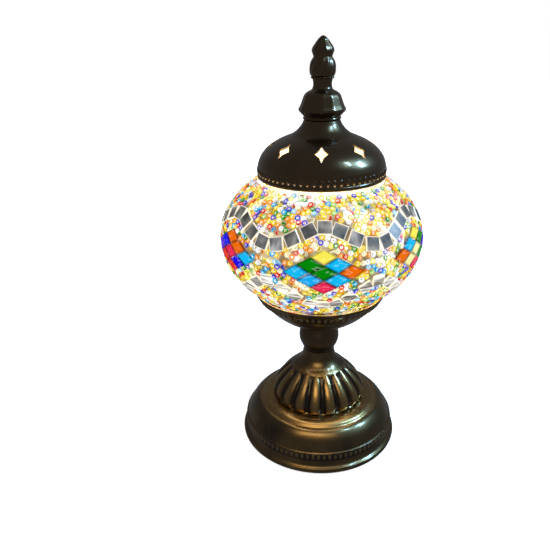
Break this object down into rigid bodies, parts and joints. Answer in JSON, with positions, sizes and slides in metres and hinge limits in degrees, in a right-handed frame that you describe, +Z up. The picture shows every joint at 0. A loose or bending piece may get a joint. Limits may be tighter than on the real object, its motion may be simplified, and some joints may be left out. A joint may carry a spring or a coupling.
{
  "type": "mosaic glass table lamp",
  "caption": "Small table lamp: a squat globe of beaded mosaic glass on a turned bronze foot with a fluted bell and cup, under a pierced domed cap with a finial.",
  "frame": {"origin": "on the table, under the lamp's axis: the centre of the underside of the pad", "axes": "+Z up along the lamp's axis; +Y towards the side the cord leaves by; the front is -Y"},
  "size_m": [0.1414, 0.1414, 0.2933],
  "materials": {
    "antique_bronze": "polished, dark antique bronze",
    "zinc_plated_steel": "zinc plated",
    "brass": "bare",
    "black_bakelite": "moulded",
    "clear_glass": "polished",
    "mosaic_coat": "glass beads and cut tiles set in cream grout",
    "black_rubber": "matt",
    "yellow_phosphor": "matt"
  },
  "bodies": {
    "lamp": {"rubber_pad": "black_rubber", "base_plate": "zinc_plated_steel", "base_shell": "antique_bronze", "cord_grommet": "black_rubber", "fluted_bell": "antique_bronze", "stem_tube": "zinc_plated_steel", "stem_washer": "zinc_plated_steel", "stem_nut": "zinc_plated_steel", "neck_knop": "antique_bronze", "cup": "antique_bronze", "cup_washer": "zinc_plated_steel", "cup_nut": "zinc_plated_steel", "seat_dish": "zinc_plated_steel", "glass_gasket": "black_rubber", "holder_base": "black_bakelite", "holder_sleeve": "black_bakelite", "holder_core": "black_bakelite", "holder_screw_shell": "brass", "centre_contact": "brass", "terminal_1": "brass", "terminal_2": "brass", "terminal_screw_1": "zinc_plated_steel", "terminal_screw_2": "zinc_plated_steel"},
    "globe": {"globe_glass": "clear_glass", "mosaic_coat": "mosaic_coat"},
    "cap": {"dome_cap": "antique_bronze", "cap_washer": "zinc_plated_steel", "cap_nut": "zinc_plated_steel", "cap_rod": "zinc_plated_steel", "crown_bell": "antique_bronze", "finial": "antique_bronze"},
    "bulb_thread": {"bulb_contact": "zinc_plated_steel"},
    "bulb": {"bulb_insulator": "black_bakelite", "bulb_cap": "zinc_plated_steel", "bulb_glass": "clear_glass", "bulb_stem": "clear_glass", "filament_1": "yellow_phosphor", "filament_2": "yellow_phosphor", "filament_3": "yellow_phosphor", "filament_4": "yellow_phosphor", "lead_wire_1": "zinc_plated_steel", "lead_wire_2": "zinc_plated_steel"}
  },
  "joints": [
    {"name": "globe_lift", "type": "slide", "parent": "lamp", "child": "globe", "axis": [0, 0, 1], "range_m": [0, 0.09]},
    {"name": "cap_lift", "type": "slide", "parent": "globe", "child": "cap", "axis": [0, 0, 1], "range_m": [0, 0.05]},
    {"name": "bulb_rise", "type": "slide", "parent": "lamp", "child": "bulb_thread", "axis": [0, 0, 1], "range_m": [0, 0.0127]},
    {"name": "bulb_turn", "type": "hinge", "parent": "bulb_thread", "child": "bulb", "pos_m": [0, 0, 0.13], "axis": [0, 0, 1], "range_deg": [0, 1620]}
  ],
  "couplings": [
    {"joint": "bulb_rise", "follows": "bulb_turn", "m_per_rad": 0.00044882}
  ]
}
